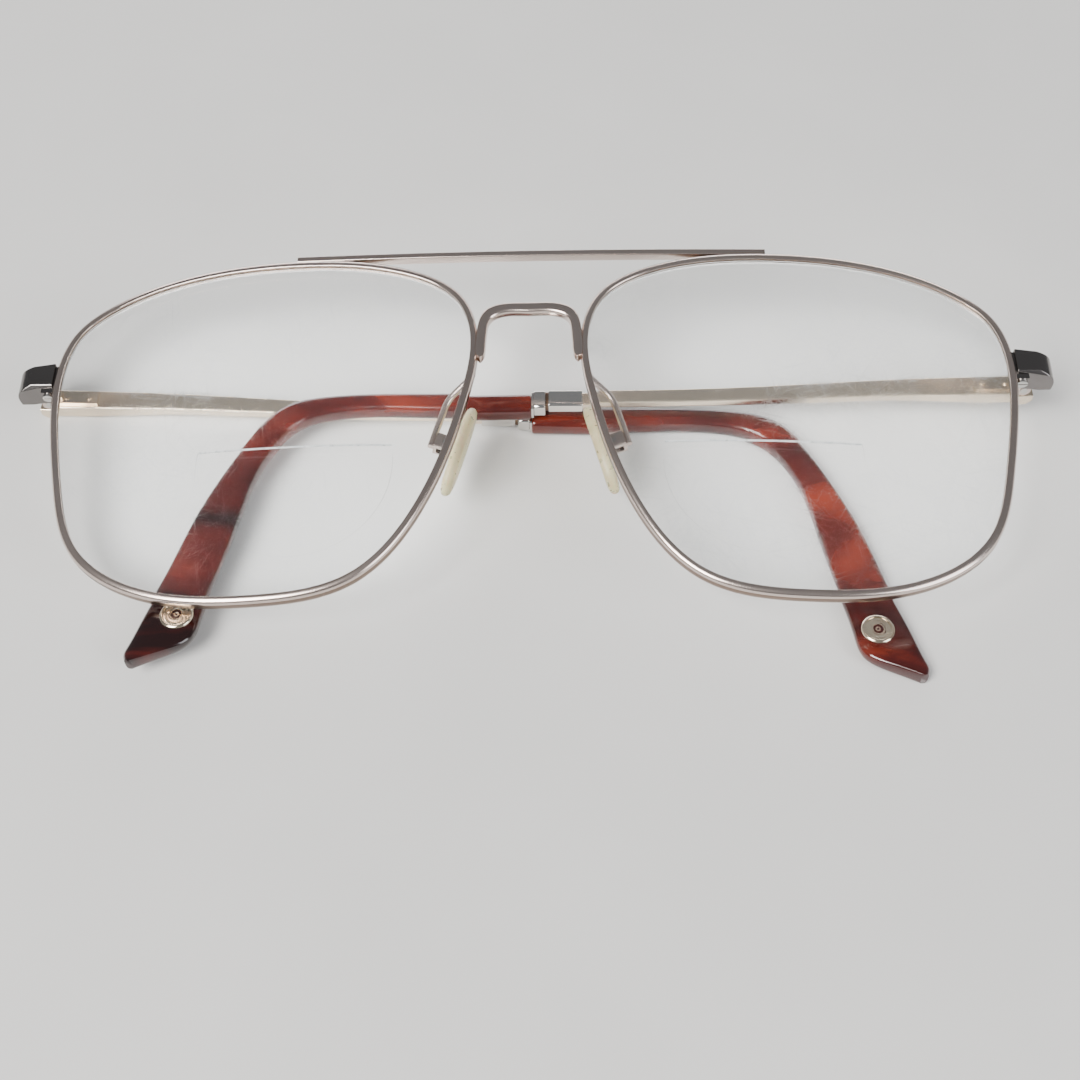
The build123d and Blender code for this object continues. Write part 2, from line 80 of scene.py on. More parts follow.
SEGMENT_PROUD = 0.01
SEGMENT_STEP = 0.27
LEDGE_SECTION = [(-0.02, -0.25), (0.14, -0.25), (0.14, 0.01), (0.10, 0.03), (-0.02, 0.03)]

# Brow bar
BAR_HALF_LENGTH = 32.2
BAR_BOTTOM = 15.5
BAR_TOP = 16.4
BAR_DEPTH = 1.4
BAR_FRONT = -0.6
BAR_BOW = 0.6
BAR_ROUND = 0.16

# Bridge: its outer and inner edges, from the middle to a foot
BRIDGE_OUTER = [(0, 7.2), (3.9, 7.05), (5.9, 6.1), (6.8, 4.0), (7.1, 1.5), (7.22, -0.5),
                (7.0, -1.35), (6.52, -1.75)]
BRIDGE_INNER = [(0, 5.5), (3.7, 5.35), (5.1, 4.5), (5.6, 2.6), (5.7, 1.0), (5.78, -0.6),
                (6.0, -1.4), (6.48, -1.78)]
BRIDGE_BACK = -1.4
BRIDGE_FRONT = 0.1
BRIDGE_ROUND = 0.5

# End pieces: the plan's outer wall, and the planes (place, normal) that cut the block to a wedge
END_PIECE_INNER = 64.7
END_PIECE_FRONT = -4.28
END_PIECE_BACK = -8.2
END_PIECE_BOTTOM = -2.8
END_PIECE_TOP = 1.3
END_PIECE_WALL = [(67.6, END_PIECE_FRONT), (69.2, -5.1), (69.95, -6.8), (69.9, END_PIECE_BACK)]
END_PIECE_CUTS = [
    ((END_PIECE_INNER, END_PIECE_TOP, 0), (0.155, 0.988, 0)),
    ((END_PIECE_INNER, -2.3, 0), (-0.139, -0.99, 0)),
    ((67, -2.15, END_PIECE_FRONT), (0, -0.7071, 0.7071)),
]

# Nose pads: the profile is pairs of share of the outline and height, 1 at the pad's faces
PAD_CENTRE = (9.4, -12.4, -6.4)
PAD_DOWN = (0.26, -0.96, 0.0)
PAD_SPLAY = radians(10.0)
PAD_LENGTH = 13.4
PAD_WIDTH = 7.0
PAD_THICKNESS = 1.6
PAD_PROFILE = [(0.12, -0.72), (0.4, -0.8), (0.65, -0.92), (0.82, -0.98), (0.93, -0.8),
               (0.985, -0.4), (1.0, 0.0), (0.985, 0.45), (0.93, 0.8), (0.82, 0.97), (0.5, 1.0),
               (0.12, 1.0)]

# Arms
ARM_END = -1.6
ARM_TOP = [(ARM_END, 1.75), (0.0, 1.7), (16.0, 1.27), (30.0, 0.46), (38.0, 0.0), (66.0, -0.5)]
ARM_BOTTOM = [(ARM_END, -1.55), (0.0, -1.6), (16.0, -1.7), (30.0, -2.15), (38.0, -2.4),
              (66.0, -2.7)]
ARM_INNER = -1.1
ARM_OUTER = [(ARM_END, -2.3), (-0.9, -2.95), (0.0, -3.0), (5.0, -3.0), (18.0, -2.3), (66.0, -2.3)]
ARM_ROUND = 0.22
COLLAR_BLOCK = (60.0, 64.7, -3.0, -0.1, -2.6, -0.8)
COLLAR_GROOVE = (64.72, 65.08, -2.85, -0.3, -2.45, -0.95)
COLLAR_RING = (65.1, 66.7, -3.5, -0.35, -2.75, -0.6)
COLLAR_ROUND = 0.45
COLLAR_EDGE = 0.12
CORE_LINE = [(60.0, -1.6), (70.0, -2.3), (94.0, -2.85), (99.5, -4.9), (102.8, -9.0),
             (106.0, -19.0), (109.3, -31.0)]
CORE_HALF_WIDTH = 0.75
CORE_OUTER = -2.3
CORE_ROUND = 0.25
TIP_OUTER_EDGE = [
    (67.0, -0.95), (80.0, -1.1), (94.7, -1.5), (100.7, -3.2), (104.3, -7.7), (107.0, -13.2),
    (109.9, -20.4), (113.3, -32.2), (115.0, -37.5), (116.1, -41.2), (116.4, -42.6), (116.1, -43.5),
]
TIP_INNER_EDGE = [
    (67.0, -4.2), (80.0, -4.3), (93.4, -4.5), (98.3, -6.3), (101.0, -9.5), (103.0, -14.0),
    (104.7, -22.3), (106.6, -31.5), (107.7, -37.0), (108.6, -40.3), (111.5, -42.1), (115.2, -43.6),
]
TIP_INNER = -0.35
TIP_OUTER = -3.05
TIP_INNER_TAPER = 0.4
TIP_OUTER_TAPER = 0.15
TIP_TAPER_TOP = -8
TIP_TAPER_LENGTH = 22
MEDALLION = (110.6, -37.0)
MEDALLION_BASE = -1.15
MEDALLION_TOP = -0.55
MEDALLION_DISH = 1.6
DISH_DEPTH = 0.22
DISH_RISE = 0.05
DISH_RIDGE = 0.035
DISH_STEPS = 32
BEZEL = [(1.6, -1.15), (2.1, -1.15), (2.1, -0.76), (2.02, -0.66), (1.9, -0.58), (1.82, -0.55),
         (1.72, -0.55), (1.66, -0.58), (1.63, -0.65), (1.6, -0.85)]

# Where the acetate darkens towards the paddle, in metres along the model's Y
PADDLE_Y = (-0.026, -0.008)

# Camera: lens in millimetres, angles in degrees, place in metres from the front's origin
CAMERA_LENS = 49
CAMERA_DOWN = 54
CAMERA_TURN = 0.49
CAMERA_PLACE = (0.00262, -0.13474, 0.14180)


# ---- Frames ----

def joint_place(name):
    """A joint's place in the row frame, in millimetres."""
    for joint in frame["record"]["behaviour"]["joints"]:
        if joint["name"] == name:
            return Vector(joint["pos_m"]) * 1000
    raise KeyError(name)


def axes_matrix(x_axis, y_axis, z_axis, origin):
    """A frame from its three axes and its origin."""
    matrix = Matrix((x_axis, y_axis, z_axis)).transposed().to_4x4()
    matrix.translation = origin
    return matrix


def front_matrix():
    """Front frame to row frame, worked out from the two arm hinges."""
    left = joint_place("left_arm_hinge")
    right = joint_place("right_arm_hinge")
    across = (right - left).normalized()
    level = Vector((0, 1, 0))
    normal = across.cross(level)
    up = level * cos(TILT) + normal * sin(TILT)
    out = normal * cos(TILT) - level * sin(TILT)
    origin = (left + right) / 2 - out * HINGE_Z
    return Matrix.Scale(0.001, 4) @ axes_matrix(across, up, out, origin)


FRONT = front_matrix()
MIRROR = Matrix.Diagonal((-1, 1, 1, 1))


def side_matrix(side):
    """Right-hand front shapes to the row frame."""
    return FRONT if side == "right" else FRONT @ MIRROR


def arm_matrix(side):
    """An arm's S, T and N to the row frame."""
    lean = ARM_LEAN[side]
    forward = Vector((0, sin(TILT), cos(TILT)))
    along = Vector((cos(lean), 0, 0)) - forward * sin(lean)
    normal = forward * cos(lean) + Vector((sin(lean), 0, 0))
    local = axes_matrix(along, normal.cross(along), normal, Vector((-HINGE_X, 0, HINGE_Z)))
    return FRONT @ local if side == "left" else FRONT @ MIRROR @ local


def pad_matrix(side):
    """A pad's length, width and outward direction to the row frame."""
    down = Vector(PAD_DOWN).normalized()
    outwards = down.cross(Vector((sin(PAD_SPLAY), 0, -cos(PAD_SPLAY)))).normalized()
    return side_matrix(side) @ axes_matrix(down, outwards.cross(down), outwards,
                                           Vector(PAD_CENTRE))


# ---- Curves ----

def spaced(points, count, closed):
    """Points at even distances along a fine line."""
    line = np.vstack([points, points[:1]]) if closed else points
    reach = np.concatenate([[0], np.cumsum(np.linalg.norm(np.diff(line, axis=0), axis=1))])
    wanted = np.linspace(0, reach[-1], count + 1 if closed else count)
    if closed:
        wanted = wanted[:-1]
    return np.stack([np.interp(wanted, reach, line[:, axis]) for axis in range(2)], axis=1)


def curve(points, closed=False, fine=24):
    """The cubic curve through the given points, with the same number of steps in each span."""
    knots = np.array(points, float)
    number = len(knots)
    spans = number if closed else number - 1
    gaps = np.array([np.linalg.norm(knots[(i + 1) % number] - knots[i]) for i in range(spans)])
    system = np.eye(number)
    right = np.zeros((number, 2))
    for i in range(0 if closed else 1, number if closed else number - 1):
        before, after = gaps[i - 1], gaps[i]
        system[i] = 0
        system[i, i - 1] += before
        system[i, i] += 2 * (before + after)
        system[i, (i + 1) % number] += after
        ahead = (knots[(i + 1) % number] - knots[i]) / after
        right[i] = 6 * (ahead - (knots[i] - knots[i - 1]) / before)
    bend = np.linalg.solve(system, right)
    line = []
    for i in range(spans):
        j = (i + 1) % number
        for b in np.arange(fine) / fine:
            a = 1 - b
            pull = (a ** 3 - a) * bend[i] + (b ** 3 - b) * bend[j]
            line.append(a * knots[i] + b * knots[j] + pull * gaps[i] ** 2 / 6)
    if not closed:
        line.append(knots[-1])
    return np.array(line)


def smooth(points, count, closed=False):
    """Even points on the cubic curve through the given points."""
    return spaced(curve(points, closed), count, closed)


def outward(loop):
    """Outward normals of a closed loop that runs anticlockwise."""
    along = np.roll(loop, -1, axis=0) - np.roll(loop, 1, axis=0)
    along /= np.linalg.norm(along, axis=1)[:, None]
    return np.stack([along[:, 1], -along[:, 0]], axis=1)


def anticlockwise(loop):
    """The loop, reversed if it runs clockwise."""
    ahead = np.roll(loop, -1, axis=0)
    area = np.sum(loop[:, 0] * ahead[:, 1] - loop[:, 1] * ahead[:, 0])
    return loop if area > 0 else loop[::-1]


def value_at(points, s):
    """A gentle curve through (s, value) points, read at s."""
    line = smooth(points, 200)
    return float(np.interp(s, line[:, 0], line[:, 1]))


def lens_height(x, y, setback):
    """Height of the surface that lies a setback behind the base curve."""
    cx, cy, cz = LENS_CENTRE
    return cz + np.sqrt((BASE_CURVE - setback) ** 2 - (x - cx) ** 2 - (y - cy) ** 2)


def on_layer(loop, setback):
    """A loop laid on the surface that lies a setback behind the base curve."""
    return [(x, y, lens_height(x, y, setback)) for x, y in loop]


# ---- Meshes ----

def piece(name, points, faces, matrix, material, smooth_angle=35):
    """A mesh object from millimetre points, facing outwards, smooth but for its sharp edges."""
    mesh = bpy.data.meshes.new(name)
    mesh.from_pydata([tuple(map(float, point)) for point in points], [], faces)
    mesh.transform(matrix)
    if sum(face.area * face.normal.dot(face.center) for face in mesh.polygons) < 0:
        mesh.flip_normals()
    mesh.materials.append(material)
    obj = bpy.data.objects.new(name, mesh)
    bpy.context.scene.collection.objects.link(obj)
    mesh.shade_smooth()
    mesh.set_sharp_from_angle(angle=radians(smooth_angle))
    return obj


def loft(rings, closed=False, capped=True):
    """Points and faces of a skin over rings of equal length."""
    size = len(rings[0])
    points = [point for ring in rings for point in ring]
    faces = []
    for r in range(len(rings) if closed else len(rings) - 1):
        a = r * size
        b = (r + 1) % len(rings) * size
        for i in range(size):
            j = (i + 1) % size
            faces.append((a + i, a + j, b + j, b + i))
    if capped and not closed:
        faces.append(tuple(reversed(range(size))))
        faces.append(tuple(range(len(points) - size, len(points))))
    return points, faces


def ribbon(first, second, low, high, section):
    """Rings across a flat strip between two edges, from section(width, low, high)."""
    rings = []
    for a, b, bottom, top in zip(first, second, low, high):
        across = b - a
        width = max(np.linalg.norm(across), 1e-6)
        middle = (a + b) / 2
        ring = [(*(middle + across / width * w), n) for w, n in section(width, bottom, top)]
        rings.append(ring)
    return rings


def shrunk(ring, share, shift):
    """A ring drawn in about its middle and shifted along the first axis."""
    ring = np.array(ring)
    middle = ring.mean(axis=0)
    return middle + (ring - middle) * share + np.array((shift, 0, 0))


def soft_section(width, low, high, steps=32, power=3.2):
    """A rounded, slightly crowned oblong."""
    points = []
    for step in range(steps):
        angle = 2 * pi * step / steps
        c, d = cos(angle), sin(angle)
        w = abs(c) ** (2 / power) * np.sign(c) * width / 2
        n = abs(d) ** (2 / power) * np.sign(d) * (high - low) / 2
        points.append((w, (low + high) / 2 + n))
    return points


def bridge_section(width, low, high):
    """A bar with well rounded edges."""
    radius = min(BRIDGE_ROUND, 0.45 * width)
    return rounded_box((-width / 2, low), (width / 2, high), radius, 6)


def weighted(obj):
    """Keeps large flat faces flat under smooth shading."""
    modifier = obj.modifiers.new("Flat faces", "WEIGHTED_NORMAL")
    modifier.keep_sharp = True
    return obj


def rounded_box(low, high, radius, steps=4):
    """Corner points of a rounded rectangle between two (t, n) corners, anticlockwise."""
    corners = [(high[0], high[1], 0), (low[0], high[1], 1), (low[0], low[1], 2),
               (high[0], low[1], 3)]
    points = []
    for x, y, turn in corners:
        cx = x - radius if turn in (0, 3) else x + radius
        cy = y - radius if turn in (0, 1) else y + radius
        for step in range(steps + 1):
            angle = pi / 2 * (turn + step / steps)
            points.append((cx + radius * cos(angle), cy + radius * sin(angle)))
    return points


def lathe(profile, steps=64):
    """Points and faces of a profile of (radius, height) turned about its axis."""
    rings = []
    for radius, height in profile:
        angles = [2 * pi * step / steps for step in range(steps)]
        rings.append([(radius * cos(a), radius * sin(a), height) for a in angles])
    return loft(rings)


def done(obj, body, slot, *nodes):
    """Hands a piece to the frame."""
    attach(obj, body)
    if nodes:
        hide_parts(*nodes)
    return obj


# ---- Materials ----

class Paint:
    """A material under construction, with its principled shader."""

    def __init__(self, name):
        self.material = bpy.data.materials.new(name)
        self.material.use_nodes = True
        self.nodes = self.material.node_tree.nodes
        self.links = self.material.node_tree.links
        self.nodes.clear()
        self.output = self.nodes.new("ShaderNodeOutputMaterial")
        self.shader = self.nodes.new("ShaderNodeBsdfPrincipled")
        self.links.new(self.shader.outputs[0], self.output.inputs["Surface"])
        self.place = self.nodes.new("ShaderNodeTexCoord").outputs["Object"]

    def set(self, **values):
        for key, value in values.items():
            self.shader.inputs[key.replace("_", " ")].default_value = value

    def stretched(self, scale, turn=(0, 0, 0)):
        mapping = self.nodes.new("ShaderNodeMapping")
        mapping.vector_type = "TEXTURE"
        mapping.inputs["Scale"].default_value = [1 / value for value in scale]
        mapping.inputs["Rotation"].default_value = turn
        self.links.new(self.place, mapping.inputs["Vector"])
        return mapping.outputs[0]

    def noise(self, scale, detail=3.0, rough=0.55, vector=None, distortion=0.0):
        node = self.nodes.new("ShaderNodeTexNoise")
        node.inputs["Scale"].default_value = scale
        node.inputs["Detail"].default_value = detail
        node.inputs["Roughness"].default_value = rough
        node.inputs["Distortion"].default_value = distortion
        self.links.new(vector or self.place, node.inputs["Vector"])
        return node.outputs["Fac"]

    def ramp(self, source, stops):
        node = self.nodes.new("ShaderNodeValToRGB")
        elements = node.color_ramp.elements
        while len(elements) < len(stops):
            elements.new(0.5)
        for element, (position, colour) in zip(elements, stops):
            element.position = position
            element.color = (*colour, 1)
        self.links.new(source, node.inputs["Fac"])
        return node.outputs["Color"]

    def spread(self, source, low, high, start=0.3, end=0.7):
        node = self.nodes.new("ShaderNodeMapRange")
        node.inputs["From Min"].default_value = start
        node.inputs["From Max"].default_value = end
        node.inputs["To Min"].default_value = low
        node.inputs["To Max"].default_value = high
        self.links.new(source, node.inputs["Value"])
        return node.outputs["Result"]

    def math(self, kind, first, second):
        node = self.nodes.new("ShaderNodeMath")
        node.operation = kind
        for socket, value in zip(node.inputs, (first, second)):
            if isinstance(value, (int, float)):
                socket.default_value = value
            else:
                self.links.new(value, socket)
        return node.outputs[0]

    def bump(self, source, distance, strength=1.0):
        node = self.nodes.new("ShaderNodeBump")
        node.inputs["Distance"].default_value = distance
        node.inputs["Strength"].default_value = strength
        self.links.new(source, node.inputs["Height"])
        self.links.new(node.outputs[0], self.shader.inputs["Normal"])

    def feed(self, socket, source):
        self.links.new(source, self.shader.inputs[socket])


def satin_metal(name, dark, light, roughness, grain=9000, bump=0.0000008, patches=45):
    """Plated metal with a fine grain, slightly uneven tone and rubbed spots."""
    paint = Paint(name)
    tone = paint.noise(patches, 2, 0.5)
    paint.feed("Base Color", paint.ramp(tone, [(0.25, dark), (0.75, light)]))
    fine = paint.noise(grain, 2, 0.5)
    rubbed = paint.noise(patches * 3, 2, 0.5)
    rough = paint.math("ADD", paint.spread(fine, -0.02, 0.02),
                       paint.spread(rubbed, roughness - 0.02, roughness + 0.03))
    paint.feed("Roughness", rough)
    paint.set(Metallic=1.0)
    paint.bump(fine, bump)
    return paint.material


def lens_material():
    """Clear coated lens with hairline scratches and a trace of smudging."""
    paint = Paint("clear lens")
    paint.set(IOR=1.5, Transmission_Weight=1.0)
    scratches = None
    for turn, across in ((0.2, 6600), (0.75, 7800), (1.35, 6000), (1.9, 7200), (2.6, 6400)):
        vector = paint.stretched((across, 150, 300), (0, 0, turn))
        line = paint.noise(1.0, 0, 0.4, vector, 0.25)
        thin = paint.spread(line, 0, 1, 0.69, 0.75)
        scratches = thin if scratches is None else paint.math("MAXIMUM", scratches, thin)
    where = paint.spread(paint.noise(55, 2, 0.5), 0.15, 1, 0.42, 0.6)
    scratches = paint.math("MULTIPLY", scratches, where)
    tint = paint.ramp(scratches, [(0.0, (0.965, 0.975, 0.98)), (1.0, (0.86, 0.88, 0.89))])
    paint.feed("Base Color", tint)
    smudge = paint.spread(paint.noise(90, 4, 0.6), 0.0, 0.03, 0.45, 0.75)
    paint.feed("Roughness", paint.math("ADD", paint.math("MULTIPLY", scratches, 0.22), smudge))
    lets_light = paint.nodes.new("ShaderNodeBsdfTransparent")
    lets_light.inputs[0].default_value = (0.93, 0.94, 0.945, 1)
    ray = paint.nodes.new("ShaderNodeLightPath")
    mix = paint.nodes.new("ShaderNodeMixShader")
    paint.links.new(ray.outputs["Is Shadow Ray"], mix.inputs[0])
    paint.links.new(paint.shader.outputs[0], mix.inputs[1])
    paint.links.new(lets_light.outputs[0], mix.inputs[2])
    paint.links.new(mix.outputs[0], paint.output.inputs["Surface"])
    return paint.material


def painted_ledge_highlight():
    """Ground edge of the reading segment, painted near-white as a highlight line."""
    paint = Paint("painted ledge highlight")
    tone = paint.noise(900, 3, 0.6)
    # Pale grey to near-white colour: a painted highlight, not the glass's own colour.
    colour = paint.ramp(tone, [(0.3, (0.62, 0.66, 0.68)), (0.7, (0.9, 0.92, 0.93))])
    paint.feed("Base Color", colour)
    paint.feed("Roughness", paint.spread(paint.noise(3000, 2, 0.5), 0.2, 0.5))
    paint.set(Transmission_Weight=0.3, IOR=1.5)
    return paint.material


def acetate_material():
    """Polished red-brown acetate with burgundy clouds, nearly black on the paddle."""
    paint = Paint("tortoise acetate")
    clouds = paint.noise(60, 4, 0.55, paint.stretched((0.6, 1.6, 1.6)), 0.8)
    axes = paint.nodes.new("ShaderNodeSeparateXYZ")
    paint.links.new(paint.place, axes.inputs[0])
    depth = paint.spread(axes.outputs["Y"], -0.17, -0.035, PADDLE_Y[0], PADDLE_Y[1])
    tone = paint.math("ADD", clouds, depth)
    colour = paint.ramp(tone, [(0.28, (0.012, 0.002, 0.002)), (0.46, (0.07, 0.007, 0.005)),
                               (0.66, (0.22, 0.030, 0.014))])
    paint.feed("Base Color", colour)
    paint.set(IOR=1.49, Transmission_Weight=0.2, Coat_Weight=0.6, Coat_Roughness=0.03)
    paint.feed("Roughness", paint.spread(paint.noise(500, 3, 0.6), 0.10, 0.20))
    paint.bump(paint.noise(350, 2, 0.5), 0.000006, 0.4)
    return paint.material


def silicone_material():
    """Aged, pale yellow pad silicone."""
    paint = Paint("pad silicone")
    tone = paint.noise(350, 4, 0.6)
    colour = paint.ramp(tone, [(0.3, (0.66, 0.59, 0.33)), (0.7, (0.84, 0.79, 0.54))])
    paint.feed("Base Color", colour)
    paint.feed("Roughness", paint.spread(paint.noise(1200, 3, 0.6), 0.25, 0.42))
    paint.set(Transmission_Weight=0.5, IOR=1.41, Subsurface_Weight=0.3, Subsurface_Scale=0.002)
    wrinkles = paint.noise(1.0, 3, 0.6, paint.stretched((1400, 500, 900)), 0.8)
    paint.bump(wrinkles, 0.00005, 0.7)
    return paint.material


NICKEL = satin_metal("satin nickel", (0.60, 0.50, 0.45), (0.68, 0.58, 0.53), 0.22)
# Dark metal painted on the rim walls and the collar groove as shade, not a colour of the metal.
PAINTED_SHADE_METAL = satin_metal("painted wall shade", (0.17, 0.12, 0.09), (0.24, 0.17, 0.13), 0.30)
CHAMPAGNE = satin_metal("champagne metal", (0.83, 0.70, 0.55), (0.89, 0.77, 0.62), 0.24)
GUNMETAL = satin_metal("gunmetal", (0.16, 0.15, 0.145), (0.22, 0.205, 0.20), 0.24)
BRIGHT = satin_metal("bright collar", (0.72, 0.70, 0.67), (0.80, 0.78, 0.75), 0.09)
STEEL = satin_metal("screw steel", (0.50, 0.49, 0.47), (0.60, 0.59, 0.57), 0.22)
PALE_GOLD = satin_metal("pale gold", (0.70, 0.60, 0.45), (0.80, 0.71, 0.56), 0.15)
GLASS = lens_material()
LEDGE_HIGHLIGHT = painted_ledge_highlight()
ACETATE = acetate_material()
SILICONE = silicone_material()


# ---- Front ----

def grown_opening(growth, count=220):
    loop = anticlockwise(smooth(RIM_OPENING, count, closed=True))
    return loop + outward(loop) * growth


def make_rim(side):
    """Rim swept from its section, a little wider at the top and the temple."""
    loop = grown_opening(0)
    normals = outward(loop)
    rings = []
    for point, normal in zip(loop, normals):
        widening = 1 + RIM_SHIFT * (normal[0] + normal[1]) / RIM_WIDTH
        ring = []
        for out, depth in RIM_SECTION:
            x, y = point + normal * out * widening
            ring.append((x, y, lens_height(x, y, depth)))
        rings.append(ring[::-1])
    points, faces = loft(rings, closed=True)
    matrix = side_matrix(side)
    obj = piece(side + "_rim_ring", points, faces, matrix, NICKEL, 50)
    # The rim's walls take the dark metal: painted shade.
    obj.data.materials.append(PAINTED_SHADE_METAL)
    for face in obj.data.polygons:
        if face.index % len(RIM_SECTION) in RIM_WALLS:
            face.material_index = 1
    return done(obj, "front", "satin_nickel", side + "_rim")


def make_lens_shell():
    """Points and faces of one lens: front, bevelled edge and back."""
    middle = np.array(LENS_MIDDLE)
    inner = np.linspace(0.04, 0.96, 14)
    edge = grown_opening(LENS_SECTION[0][0])
    rings = []
    for share in inner:
        rings.append(on_layer(middle + (edge - middle) * share, LENS_SECTION[0][1]))
    for growth, depth in LENS_SECTION:
        rings.append(on_layer(grown_opening(growth), depth))
    for share in inner[::-1]:
        rings.append(on_layer(middle + (edge - middle) * share, LENS_SECTION[-1][1]))
    return loft([ring[::-1] for ring in rings])


def segment_height(x, y):
    """Front of the reading segment: proud at its flat top, level with the lens at the bottom."""
    share = (y - (SEGMENT_CENTRE[1] - SEGMENT_RADIUS)) / (SEGMENT_RADIUS + SEGMENT_FLAT)
    step = SEGMENT_STEP * np.clip(share, 0, 1) ** 2
    return lens_height(x, y, LENS_SECTION[0][1]) + SEGMENT_PROUD + step


def make_segment_shell():
    """Points and faces of the reading segment, sunk a little into the lens."""
    start = np.arcsin(SEGMENT_FLAT / SEGMENT_RADIUS)
    arc = np.linspace(pi - start, 2 * pi + start, 72)
    flat = SEGMENT_RADIUS * cos(start)
    loop = [(SEGMENT_RADIUS * cos(a), SEGMENT_RADIUS * sin(a)) for a in arc]
    loop += [(x, SEGMENT_FLAT) for x in np.linspace(flat, -flat, 26)[1:-1]]
    turn = Matrix.Rotation(SEGMENT_SLOPE, 2)
    loop = np.array([turn @ Vector(point) for point in loop])
    rings = []
    for share in np.linspace(0.05, 1, 10):
        rings.append(on_layer(np.array(SEGMENT_CENTRE) + loop * share, SEGMENT_BACK))
    for share in np.linspace(1, 0.05, 10):
        ring = np.array(SEGMENT_CENTRE) + loop * share
        rings.append([(x, y, segment_height(x, y)) for x, y in ring])
    return loft(rings)


def make_lens(side):
    """Lens with its reading segment joined on as one body of glass."""
    matrix = side_matrix(side)
    lens = piece(side + "_lens_glass", *make_lens_shell(), matrix, GLASS, 25)
    segment = piece(side + "_segment", *make_segment_shell(), matrix, GLASS, 25)
    union = lens.modifiers.new("Segment", "BOOLEAN")
    union.operation = "UNION"
    union.solver = "EXACT"
    union.object = segment
    depsgraph = bpy.context.evaluated_depsgraph_get()
    joined = bpy.data.meshes.new_from_object(lens.evaluated_get(depsgraph))
    lens.modifiers.clear()
    lens.data = joined
    bpy.data.objects.remove(segment)
    joined.set_sharp_from_angle(angle=radians(25))
    return done(lens, "front", "lens", side + "_lens", side + "_lens_segment")


def make_segment_ledge(side):
    """Ground edge along the flat top of the reading segment, coloured with the painted highlight.
    """
    half = SEGMENT_RADIUS * cos(np.arcsin(SEGMENT_FLAT / SEGMENT_RADIUS))
    turn = Matrix.Rotation(SEGMENT_SLOPE, 2)
    rings = []
    for x in np.linspace(-half, half, 40):
        ring = []
        for drop, lift in LEDGE_SECTION:
            place = turn @ Vector((x, SEGMENT_FLAT - drop)) + Vector(SEGMENT_CENTRE)
            ring.append((*place, segment_height(*place) + lift))
        rings.append(ring)
    obj = piece(side + "_segment_ledge", *loft(rings), side_matrix(side), LEDGE_HIGHLIGHT, 40)
    return done(obj, "front", "lens")


def make_brow_bar():
    """Flat bar, bowed forwards in the middle, with squared ends."""
    rings = []
    for x in np.linspace(-BAR_HALF_LENGTH, BAR_HALF_LENGTH, 60):
        front = BAR_FRONT - BAR_BOW * (x / BAR_HALF_LENGTH) ** 2
        section = rounded_box((BAR_BOTTOM, front - BAR_DEPTH), (BAR_TOP, front), BAR_ROUND)
        rings.append([(x, y, z) for y, z in section])
    obj = piece("brow_bar_strip", *loft(rings), FRONT, NICKEL, 40)
    return done(weighted(obj), "front", "satin_nickel", "brow_bar")


def make_bridge():
    """Arched bridge with tapered legs that end in round feet on the rims."""
    edges = []
    for half in (BRIDGE_OUTER, BRIDGE_INNER):
        left = [(-x, y) for x, y in half[:0:-1]]
        edges.append(curve(left + half))
    count = len(edges[0])
    heights = np.full(count, BRIDGE_BACK), np.full(count, BRIDGE_FRONT)
    rings = ribbon(*edges, *heights, bridge_section)
    obj = piece("nose_bridge_arch", *loft(rings), FRONT, NICKEL, 50)
    return done(weighted(obj), "front", "satin_nickel", "nose_bridge")


def make_end_piece(side):
    """Wedge between rim and hinge: sloping top, bevelled lower edge and a rounded outer wall."""
    plan = [(END_PIECE_INNER, -7.0), (END_PIECE_INNER, END_PIECE_FRONT)]
    plan += [tuple(point) for point in smooth(END_PIECE_WALL, 14)]
    plan.append((END_PIECE_INNER + 1.0, END_PIECE_BACK))
    points = [(x, y, z) for y in (END_PIECE_BOTTOM, END_PIECE_TOP) for x, z in plan]
    size = len(plan)
    faces = [tuple(range(size)), tuple(reversed(range(size, 2 * size)))]
    faces += [(i, i + size, (i + 1) % size + size, (i + 1) % size) for i in range(size)]
    matrix = side_matrix(side)
    obj = piece(side + "_end_wedge", points, faces, matrix, GUNMETAL, 30)
    for place, normal in END_PIECE_CUTS:
        cut_plane(obj, matrix @ Vector(place), matrix.to_3x3() @ Vector(normal))
    bevelled(obj, 0.00012, 3, 25).harden_normals = True
    return done(obj, "front", "dark_metal", side + "_end_piece")


def bevelled(obj, width, segments, angle):
    """Rounds a piece's sharp edges."""
    bevel = obj.modifiers.new("Edges", "BEVEL")
    bevel.width = width
    bevel.segments = segments
    bevel.limit_method = "ANGLE"
    bevel.angle_limit = radians(angle)
    return bevel


def cut_plane(obj, place, normal):
    """Cuts away what lies beyond a plane and closes the cut."""
    shape = bmesh.new()
    shape.from_mesh(obj.data)
    geometry = shape.verts[:] + shape.edges[:] + shape.faces[:]
    cut = bmesh.ops.bisect_plane(shape, geom=geometry, plane_co=place, plane_no=normal,
                                 clear_outer=True, dist=1e-7)
    edges = [item for item in cut["geom_cut"] if isinstance(item, bmesh.types.BMEdge)]
    bmesh.ops.holes_fill(shape, edges=edges)
    bmesh.ops.recalc_face_normals(shape, faces=shape.faces)
    shape.to_mesh(obj.data)
    shape.free()


# ---- Nose pads ----

def make_pad(side):
    """Drop-shaped silicone pad with a soft edge and a shallow hollow on the nose side."""
    steps = 72
    angles = [2 * pi * step / steps for step in range(steps)]
    loop = []
    for angle in angles:
        fuller = 1 - 0.10 * cos(angle)
        loop.append((PAD_LENGTH / 2 * cos(angle), PAD_WIDTH / 2 * sin(angle) * fuller))
    loop = np.array(loop)
    half = PAD_THICKNESS / 2
    rings = []
    for share, height in PAD_PROFILE:
        ring = loop * share
        rings.append(np.column_stack([ring, np.full(steps, height * half)]))
    obj = piece(side + "_pad_silicone", *loft(rings), pad_matrix(side), SILICONE, 60)
    return done(obj, side + "_pad", "silicone", side + "_nose_pad")


# ---- Arms ----

